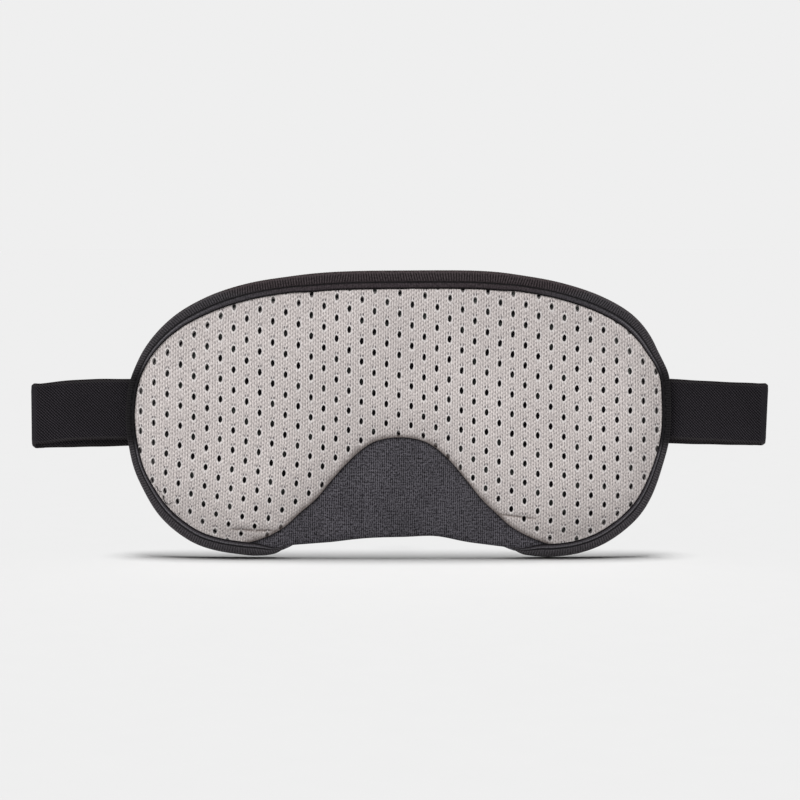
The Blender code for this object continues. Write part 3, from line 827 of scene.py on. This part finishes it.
def make_flap_half(side, finish):
    """Half of the nose flap, from the arch seam to its folded edge, its corner held in the binding."""
    top = inset(ARCH, -SEAM_ALLOWANCE)
    top = top[top[:, 0] > 0.8]
    edge = inset(RIM, SEAM_ALLOWANCE + 0.8 * smoothstep(44, 52, np.abs(RIM[:, 0])))
    corner = edge[(edge[:, 0] < FOOT_X) & (edge[:, 0] > 0) & (edge[:, 1] < 0)]
    low = FLAP_EDGE[FLAP_EDGE[:, 0] > 0.8]
    rise = np.linspace(FLAP_EDGE_HALF[0][1], ARCH_HALF[0][1] + SEAM_ALLOWANCE, 25)
    middle = columns(np.zeros(25), rise)
    plan, faces = filled(np.vstack([middle, top, corner, low[::-1]]), 1.5, 0.8)
    low_edge = np.vstack([corner[-1:], low[::-1], middle[:1]])
    mid = flap_surface(plan, low_edge)
    fold = distance_to(low_edge, plan)
    half_thick = 0.85 * np.sqrt(np.clip(1 - (1 - np.clip(fold / 1.1, 0, 1)) ** 2, 0.02, 1))
    plan = plan * [side, 1]
    flap = thick_sheet(
        "nose_flap_left" if side < 0 else "nose_flap_right",
        plan, faces, mid - half_thick, mid + half_thick, finish, plan,
    )
    # Painted shade on the flap along the arch seam, for the material to read.
    shade_by(flap, "seam", smoothstep(1.6, 0.1, distance_to(ARCH, plan)) ** 1.5)
    return flap


def make_nose_flap(finish):
    """Two halves of the nose flap, one on each flank of the arch seam."""
    halves = []
    for side in (-1, 1):
        half = make_flap_half(side, finish)
        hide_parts("nose_flap")
        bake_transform(half)
        halves.append(half)
    return halves


# The binding


def rim_frame(path, across, depth):
    """Points as far in from the rim as across says, at a depth from the middle of the layers."""
    spots = inset(path, across)
    return columns(spots[:, 0], bow(spots[:, 0]) + EDGE_Y + depth, spots[:, 1])


# Across one face of the binding, from the rim's edge to its lip: share of the width, depth below the
# crown in millimetres and how strongly the ribs show.
BINDING_PROFILE = (
    (0.000, 2.27, 0.0), (0.008, 1.55, 0.1), (0.035, 0.85, 0.25), (0.080, 0.32, 0.4), (0.130, 0.22, 0.15),
    (0.175, 0.16, 0.8), (0.260, 0.02, 1.0), (0.360, 0.00, 1.0), (0.460, 0.03, 1.0), (0.545, 0.14, 0.8),
    (0.590, 0.50, 0.1), (0.625, 0.66, 0.0), (0.660, 0.46, 0.0), (0.720, 0.12, 0.3), (0.820, 0.02, 0.35),
    (0.920, 0.14, 0.2), (0.975, 0.42, 0.1), (1.000, 0.95, 0.0), (0.940, 1.50, 0.0),
)


def wander(draw, along, pitch, spare, reach):
    """A value that drifts along a line, drawn anew at each pitch."""
    knots = np.arange(0, along[-1] + spare, pitch)
    return np.interp(along, knots, draw.uniform(-reach, reach, len(knots)))


def make_binding(finish):
    """The braid folded over the rim, with its ribs, groove and lips as geometry."""
    path = whole(RIM_HALF, RIB_PITCH / 4)
    along = lengths_along(path)
    ends = np.minimum(along, along[-1] - along)
    taper = 0.12 + 0.88 * smoothstep(0, 17, ends)
    tucked = inset(path, 1.2 * smoothstep(9, 0, ends))
    z = path[:, 1]
    width = binding_width(z) * taper
    draw = np.random.default_rng(12)
    strength = 0.10 + 0.14 * smoothstep(5, 40, z) + 0.08 * smoothstep(-25, -50, z)
    waver = wander(draw, along, 3.1, 4, 1)
    slant = wander(draw, along, 8.3, 9, 0.3)
    shallow = 0.45 + 0.55 * smoothstep(0.1, 0.7, taper)
    rings, uvs = [], []
    # Round the section from the front lip to the rim's edge, then to the back lip.
    for face, profile in ((-1, BINDING_PROFILE[::-1]), (1, BINDING_PROFILE[1:])):
        for share, below, ribbed in profile:
            u = along + slant * (share - 0.35) * width
            rib = 0.5 + 0.5 * np.sin(2 * math.pi * u / RIB_PITCH)
            depth = HALF_DEPTH - below + strength * ribbed * (rib - 0.4) * 1.5 + 0.05 * waver
            depth = face * depth * shallow * (share > 0)
            across = share * width - (0.10 * rib * ribbed if share < 0.1 else 0)
            if share == 0:
                across = -0.06 * rib
            rings.append(rim_frame(tucked, across, depth))
            uvs.append(columns(u, np.full(len(path), face * share)))
    rings, uvs = np.stack(rings, axis=1), np.stack(uvs, axis=1)
    binding = swept("binding_braid", leaned(rings), finish, uvs.reshape(-1, 2), smooth=70)
    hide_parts("edge_binding")
    return binding


def stitched(name, path, radius, pitch, length, finish):
    """A row of separate stitches along a path: each a small capsule with tapered ends."""
    along = lengths_along(path)
    t = np.linspace(0, 1, STITCH_RINGS)
    swell = radius * np.sqrt(np.clip(1 - (2 * t - 1) ** 4, 0.05, 1))
    angle = np.linspace(0, 2 * math.pi, THREAD_SIDES, endpoint=False)
    points, faces = [], []
    for index, start in enumerate(np.arange(pitch / 2, along[-1] - length, pitch)):
        spine = at_lengths(path, along, start + t * length)
        ahead = (spine[-1] - spine[0]) / np.linalg.norm(spine[-1] - spine[0])
        side = np.cross(ahead, (0, 1, 0))
        side /= np.linalg.norm(side)
        ring = np.cos(angle)[:, None] * side + np.sin(angle)[:, None] * np.cross(side, ahead)
        points.append((spine[:, None] + swell[:, None, None] * ring).reshape(-1, 3))
        faces += tube_faces(STITCH_RINGS, THREAD_SIDES, base=index * STITCH_RINGS * THREAD_SIDES)
    return object_from(name, np.vstack(points), faces, finish)


def make_threads(finish):
    made = []
    path = RIM[6:-6]
    width = binding_width(path[:, 1])
    for name, side, node in (("front", -1, "binding_thread_front"), ("back", 1, "binding_thread_back")):
        line = rim_frame(path, width * 0.625, np.full(len(path), side * (HALF_DEPTH - 0.42)))
        row = stitched(f"binding_stitches_{name}", leaned(line), STITCH_RADIUS, 2.6, 2.1, finish)
        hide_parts(node)
        made.append(row)
    seam = inset(ARCH, SEAM_ALLOWANCE)[1:-1]
    line = rim_frame(seam, 0, 0)
    row = stitched("arch_stitches", leaned(line), STITCH_RADIUS, 2.4, 2.0, finish)
    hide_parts("arch_seam_thread")
    made.append(row)
    return made


# Loose ends of thread at the binding's inner edge: the middle, the size and the turns of each.
LOOSE_ENDS = (((-92.6, -35.6), 1.7, 0.9), ((-95.2, -31.2), 1.2, 0.6), ((-88.8, -41.0), 1.3, 0.7))


def make_loose_ends(finish):
    made = []
    for index, ((x, z), size, turns) in enumerate(LOOSE_ENDS):
        t = np.linspace(0, 1, 26)
        angle = 2 * math.pi * turns * t + index
        plan = columns(x + size * (2 * t - 1 + 0.5 * np.cos(angle)), z + size * np.sin(angle))
        deep = front_surface(plan, MESH_EDGE, MESH_FULL, behind=False) - 0.25 - 0.5 * np.sin(math.pi * t)
        deep = np.minimum(deep, bow(plan[:, 0]) + EDGE_Y - HALF_DEPTH - 0.1)
        line = columns(plan[:, 0], deep, plan[:, 1])
        made.append(thread_run(f"loose_thread_{index + 1}", leaned(line), LOOSE_RADIUS, finish))
    return made


# The strap


def ribbon(name, path, finish, node, heading=1):
    """Webbing standing on edge along a path, with soft edges and a slightly wavy selvedge."""
    path = evenly(np.asarray(path, float), 0.8)
    ahead = np.gradient(path, axis=0)
    side = columns(ahead[:, 1], -ahead[:, 0], np.zeros(len(path)))
    side /= np.linalg.norm(side, axis=1)[:, None]
    along = heading * lengths_along(path)
    half, deep = STRAP_WIDTH / 2, STRAP_THICK / 2
    rise = np.array([0, 0.2, 0.4, 0.6, 0.8, 0.95, 0.985, 1])
    slim = deep * np.array([0.93, 0.93, 0.93, 0.94, 0.96, 1, 0.75, 0.35])
    levels, thick = np.concatenate([-rise[:0:-1], rise]), np.concatenate([slim[:0:-1], slim])
    wave = 0.12 * np.sin(along / 7.0) + 0.06 * np.sin(along / 2.3)
    right, out = np.sign(path[:, 0]), np.abs(path[:, 0])
    sag = 1.5 * smoothstep(80, 146, out) - 0.5 * right * smoothstep(60, 105, out)
    sag = sag * smoothstep(8, 12, path[:, 1])
    twist = 0.035 * half * smoothstep(126, 146, out) * (right > 0)
    rings, uvs = [], []
    for face, order in ((1, slice(None)), (-1, slice(None, None, -1))):
        for level, thin in zip(levels[order], thick[order]):
            up = level * half * 0.988 + np.abs(level) ** 6 * wave * 0.6 - sag
            spot = path + side * (face * thin) + np.array([0, 0, 1.0]) * up[:, None]
            corner = 0.6 * smoothstep(0.9, 1, abs(level)) ** 2 * smoothstep(143, 148, out)
            spot[:, 0] += twist * (level - 1) - corner * right
            rings.append(spot)
            uvs.append(columns(along, np.full(len(path), level * half)))
    uvs = np.stack(uvs, axis=1).reshape(-1, 2)
    strap = swept(name, np.stack(rings, axis=1), finish, uvs, smooth=60)
    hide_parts(node)
    return strap


def turn(centre, radius, start, sweep, height=REAR_DROP):
    """Part of a circle round a centre's x and y, between two angles in degrees, at one height."""
    angle = np.radians(start + sweep * np.arange(25) / 24)
    x, y = centre
    return columns(x + radius * np.cos(angle), y + radius * np.sin(angle), np.full(25, height, float))


def side_path(fold_x, droop):
    """The right strap from its sewn end over the front run and round the fold to the rear run."""
    sewn_y = bow(94) + GAP + STRAP_THICK / 2
    over_y = bow(HALF_WIDTH) + EDGE_Y + HALF_DEPTH + 0.1 + 0.5 + GAP + STRAP_THICK / 2
    front = (
        (94, sewn_y + 0.1), (100, (sewn_y + over_y) / 2), (HALF_WIDTH - 4, over_y - 0.1),
        (HALF_WIDTH + 2, over_y), (HALF_WIDTH + 14, FOLD_FRONT_Y), (fold_x - 6, FOLD_FRONT_Y),
    )
    front = smooth_through(np.array([(x, y, 0) for x, y in front]), 8)
    fold = turn((fold_x, FOLD_FRONT_Y + FOLD_RADIUS), FOLD_RADIUS, -90, 180, 0)
    path = np.vstack([front, fold])
    front_share = np.clip((path[:, 0] - HALF_WIDTH) / (fold_x - HALF_WIDTH), 0, 1) ** droop
    path[:, 2] = FRONT_RISE + (FRONT_DROP - FRONT_RISE) * front_share
    path[:, 2] += (REAR_DROP - FRONT_DROP) * smoothstep(FOLD_FRONT_Y, REAR_Y, path[:, 1])
    return path


def make_side_straps(strap, thread):
    for side, name, fold_x, droop in ((-1, "left", FOLD_LEFT, 2.6), (1, "right", FOLD_RIGHT, 1)):
        route = side_path(fold_x, droop) * [side, 1, 1]
        piece = ribbon(f"side_strap_{name}", route, strap, f"strap_{name}_side", side)
        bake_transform(piece)
        spot = (side * 98.9, 6.3, 0)
        bar_tack(f"tack_stitches_{name}", f"strap_tack_{name}", "mask", spot, 1.8, thread)


def bar_tack(name, node, body, spot, wide, finish, rows=22):
    """A dense zigzag of thread against the strap."""
    x, y, z = spot
    z = z + np.linspace(-TACK_HEIGHT / 2, TACK_HEIGHT / 2, rows * 2 + 1)
    x = x + wide / 2 * np.where(np.arange(len(z)) % 2, 1, -1)
    box = thread_run(name, columns(x, np.full(len(z), y), z), TACK_RADIUS, finish)
    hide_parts(node)
    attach(box, body)


def tube(name, line, outline, finish, closed=False, out=None):
    """A tube round a line. outline is its surface's distance from the line at each of equal angles."""
    ahead = np.roll(line, -1, axis=0) - np.roll(line, 1, axis=0) if closed else np.gradient(line, axis=0)
    ahead /= np.linalg.norm(ahead, axis=1)[:, None]
    side = np.cross(ahead, (0, 1, 0))
    side /= np.linalg.norm(side, axis=1)[:, None]
    if out is None:
        out = np.cross(side, ahead)[:, None]
    angle = np.linspace(0, 2 * math.pi, len(outline), endpoint=False)
    across = (outline * np.cos(angle))[:, None] * side[:, None]
    rings = line[:, None] + across + (outline * np.sin(angle))[:, None] * out
    return swept(name, rings, finish, closed=closed)


def thread_run(name, line, radius, finish):
    return tube(name, line, np.full(THREAD_SIDES, radius), finish, out=np.array([0, 1.0, 0]))


def at_rear(*spots):
    """A line of points at the height of the rear strap, from their x and y."""
    return np.array([(x, y, REAR_DROP) for x, y in spots], float)


def make_rear_straps(strap, thread):
    """The long strap's rear run and its turn round the ring, the doubled stretch and the short strap."""
    run = at_rear((-FOLD_LEFT, REAR_Y), (RING_X, REAR_Y))
    around = turn((RING_X, RING_Y), RING_TURN, -90, 180)
    back = at_rear((RING_X - RETURN_LEG, RING_Y + RING_TURN))
    piece = ribbon("rear_strap", np.vstack([run, around[1:], back]), strap, "strap_back")
    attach(piece, "strap")

    loop_end = at_rear((SLIDER_X + END_LOOP_LEG, SLIDER_BAR_Y + SLIDER_TURN))
    piece = ribbon("returning_strap", np.vstack([back, loop_end]), strap, "strap_return")
    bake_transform(piece)

    far_bar = RING_X + RING_PITCH
    near = at_rear((FOLD_RIGHT, REAR_Y), (100, REAR_Y))
    around = turn((far_bar, RING_Y), RING_TURN, -90, -180)
    joined_y = REAR_Y + STRAP_THICK + GAP
    lap = at_rear(
        (far_bar + 3, RING_Y + RING_TURN - 0.6), (far_bar + 9, joined_y + 0.3),
        (far_bar + 12, joined_y), (far_bar + 24, joined_y),
    )
    route = np.vstack([near, around, lap])
    piece = ribbon("ring_end_strap", route, strap, "ring_strap")
    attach(piece, "strap")
    spot = (far_bar + 17.5, joined_y + STRAP_THICK / 2 + 0.15, REAR_DROP)
    bar_tack("ring_strap_stitches", "ring_strap_thread", "strap", spot, 6.4, thread, 12)


def frame_loop(x_low, x_high, half_height, y_of):
    """A closed rounded rectangle in x and z, at a depth y_of(x)."""
    points = []
    for quarter, (side, end) in enumerate(((1, 1), (-1, 1), (-1, -1), (1, -1))):
        angle = np.radians(90 * quarter + 90 * np.arange(9) / 8)
        x = (x_high if side > 0 else x_low) + FRAME_CORNER * (np.cos(angle) - side)
        points.append(columns(x, end * half_height + FRAME_CORNER * (np.sin(angle) - end)))
    line = evenly(np.vstack([*points, points[0][:1]]), 0.5)[:-1]
    return columns(line[:, 0], y_of(line[:, 0]), line[:, 1] + REAR_DROP)


def rod(name, node, body, line, radius, finish, closed=True):
    """A moulded rod: round, with fine parting lines along it."""
    angle = np.linspace(0, 2 * math.pi, ROD_SIDES, endpoint=False)
    outline = radius * (1 + 0.05 * np.abs(np.cos(2 * angle)) ** 6)
    piece = tube(name, line, outline, finish, closed)
    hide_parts(node)
    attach(piece, body)


def make_hardware(plastic):
    half = STRAP_WIDTH / 2 + 0.6 + RING_ROD
    loop = frame_loop(RING_X, RING_X + RING_PITCH, half, lambda x: np.full(len(x), RING_Y))
    rod("strap_ring", "ring", "strap", loop, RING_ROD * 0.96, plastic)

    def camber(x):
        share = np.cos(math.pi / 2 * np.clip(np.abs(x - SLIDER_X) / SLIDER_HALF, 0, 1))
        return OUTER_BAR_Y + (SLIDER_BAR_Y - OUTER_BAR_Y) * smoothstep(0, 1, share)

    half = STRAP_WIDTH / 2 + 0.6 + SLIDER_ROD
    loop = frame_loop(SLIDER_X - SLIDER_HALF, SLIDER_X + SLIDER_HALF, half, camber)
    rod("slider_frame", "slider", "adjuster", loop, SLIDER_ROD * 0.96, plastic)
    z = np.linspace(-half, half, 40)
    line = columns(np.full(40, SLIDER_X), np.full(40, SLIDER_BAR_Y), z + REAR_DROP)
    rod("slider_bar", "slider", "adjuster", line, SLIDER_ROD * 0.94, plastic, closed=False)


def make_strap_end(strap, thread):
    """The long strap's end: round the slider's middle bar and sewn to itself."""
    outer_y = SLIDER_BAR_Y + SLIDER_TURN
    outer = at_rear((SLIDER_X + END_LOOP_LEG, outer_y))
    around = turn((SLIDER_X, SLIDER_BAR_Y), SLIDER_TURN, 90, 180)
    sewn_y = outer_y - STRAP_THICK - GAP
    lap = at_rear(
        (SLIDER_X + 3, SLIDER_BAR_Y - SLIDER_TURN + 0.5), (SLIDER_X + 7, sewn_y - 0.3),
        (SLIDER_X + 9, sewn_y), (SLIDER_X + END_LOOP_LEG - 1, sewn_y),
    )
    piece = ribbon("end_loop_strap", np.vstack([outer, around, lap]), strap, "strap_end_loop")
    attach(piece, "adjuster")
    spot = (SLIDER_X + 10.5, outer_y + STRAP_THICK / 2 + 0.15, REAR_DROP)
    bar_tack("end_loop_stitches", "strap_end_thread", "adjuster", spot, 4.4, thread, 14)


# The stage


BACKGROUND = 0.863
FLOOR_ALBEDO = 0.5
FLOOR_Z = -59.0
FLOOR_HALF = 40000
AMBIENT = 0.06
CAMERA_TILT = math.radians(4.0)
CAMERA_DISTANCE = 0.889
CAMERA_TARGET = (0.6, 0, 4.4)

# The lights on the mask: direction, what a white surface facing it returns, and spread in degrees. The key
# comes from the upper left, and the first two are a pale surround.
MASK_LIGHTS = {
    "surround_front": ((0, -1, 0), 0.12, 180),
    "surround_back": ((0, 1, 0), 0.12, 180),
    "key": ((-0.50, -1.0, 1.05), 0.63, 30),
    "fill": ((0.7, -1.0, 0.2), 0.16, 60),
    "rear_fill": ((0.4, 1.0, 0.7), 0.35, 50),
}


def studio_material():
    s = Shader("studio paper", 1.0, specular=0.0)
    fine = s.noise(s.place(), 90.0, 3.0)
    colour = s.mix(fine, (FLOOR_ALBEDO - 0.004,) * 3, (FLOOR_ALBEDO + 0.004,) * 3)
    return s.finish(colour, fine, 0.02, 0.2)


def make_stage():
    """A wide pale floor under the mask."""
    corners = [(x * FLOOR_HALF, y * FLOOR_HALF, FLOOR_Z) for x, y in ((-1, -1), (1, -1), (1, 1), (-1, 1))]
    floor = object_from("studio_floor", corners, [(0, 1, 2, 3)], studio_material())
    return floor


def grouped(name, objects):
    group = bpy.data.collections.new(name)
    for obj in objects:
        group.objects.link(obj)
    return group


def sun(name, direction, radiance, spread, lit, shading=None):
    """A soft distant light on some objects only, given what a white surface facing it returns."""
    data = bpy.data.lights.new(name, "SUN")
    data.energy = radiance * math.pi
    data.angle = math.radians(spread)
    light = bpy.data.objects.new(name, data)
    light.rotation_euler = (-Vector(direction)).to_track_quat("-Z", "Y").to_euler()
    bpy.context.scene.collection.objects.link(light)
    light.light_linking.receiver_collection = grouped(name + "_lit", lit)
    if shading:
        light.light_linking.blocker_collection = grouped(name + "_shading", shading)


def make_lights(floor):
    """An overhead light for the floor, those for the mask and a world that looks paler than it lights."""
    mask = [obj for obj in bpy.context.scene.objects if obj.type == "MESH" and obj != floor]
    body = [obj for obj in mask if "strap" not in obj.name and "slider" not in obj.name]
    sun("overhead", (0, -0.04, 1), BACKGROUND / FLOOR_ALBEDO - AMBIENT, 22, [floor], body)
    for name, (direction, radiance, spread) in MASK_LIGHTS.items():
        sun(name, direction, radiance, spread, mask)
    world = bpy.data.worlds.new("studio")
    world.use_nodes = True
    tree = world.node_tree
    seen = tree.nodes.new("ShaderNodeBackground")
    around = tree.nodes["Background"]
    for node, level in ((seen, BACKGROUND), (around, AMBIENT)):
        node.inputs[0].default_value = (level, level, level, 1)
        node.inputs[1].default_value = 1
    path = tree.nodes.new("ShaderNodeLightPath")
    mix = tree.nodes.new("ShaderNodeMixShader")
    tree.links.new(path.outputs["Is Camera Ray"], mix.inputs[0])
    tree.links.new(around.outputs[0], mix.inputs[1])
    tree.links.new(seen.outputs[0], mix.inputs[2])
    tree.links.new(mix.outputs[0], tree.nodes["World Output"].inputs[0])
    bpy.context.scene.world = world
    bpy.context.scene.view_settings.view_transform = "Standard"


def make_camera():
    data = bpy.data.cameras.new("camera")
    data.lens = 100
    data.sensor_width = 36
    camera = bpy.data.objects.new("camera", data)
    target = Vector(CAMERA_TARGET) * MM
    away = Vector((0, -math.cos(CAMERA_TILT), math.sin(CAMERA_TILT)))
    camera.location = target + away * CAMERA_DISTANCE
    camera.rotation_euler = (target - camera.location).to_track_quat("-Z", "Y").to_euler()
    bpy.context.scene.collection.objects.link(camera)
    bpy.context.scene.camera = camera


def main():
    make_camera()
    finishes = {
        "jersey": jersey_material(),
        "lining": lining_material(),
        "foam": grained("foam", (0.018, 0.018, 0.019), (0.034, 0.034, 0.035), 0.9, 700, 0.3),
        "film": grained("film", (0.015, 0.015, 0.016), (0.025, 0.025, 0.026), 0.6, 500, 0.05),
    }
    thread = grained("black thread", (0.006, 0.006, 0.007), (0.022, 0.020, 0.021), 0.6, 2500, 0.08)
    dark, light = (0.010, 0.010, 0.011), (0.014, 0.014, 0.015)
    plastic = grained("moulded plastic", dark, light, 0.36, 1400, 0.02, 0.5)
    strap = strap_material()
    panel = make_mesh_panel(mesh_material())
    layers = [make_layer(name, node, finishes[finish], *rest) for name, node, finish, *rest in LAYERS]
    flap = make_nose_flap(finishes["jersey"])
    binding = make_binding(binding_material())
    threads = make_threads(thread) + make_loose_ends(thread)
    for piece in (panel, *layers, binding, *threads):
        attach(piece, "mask")
    make_side_straps(strap, thread)
    make_rear_straps(strap, thread)
    make_hardware(plastic)
    make_strap_end(strap, thread)
    floor = make_stage()
    make_lights(floor)


main()
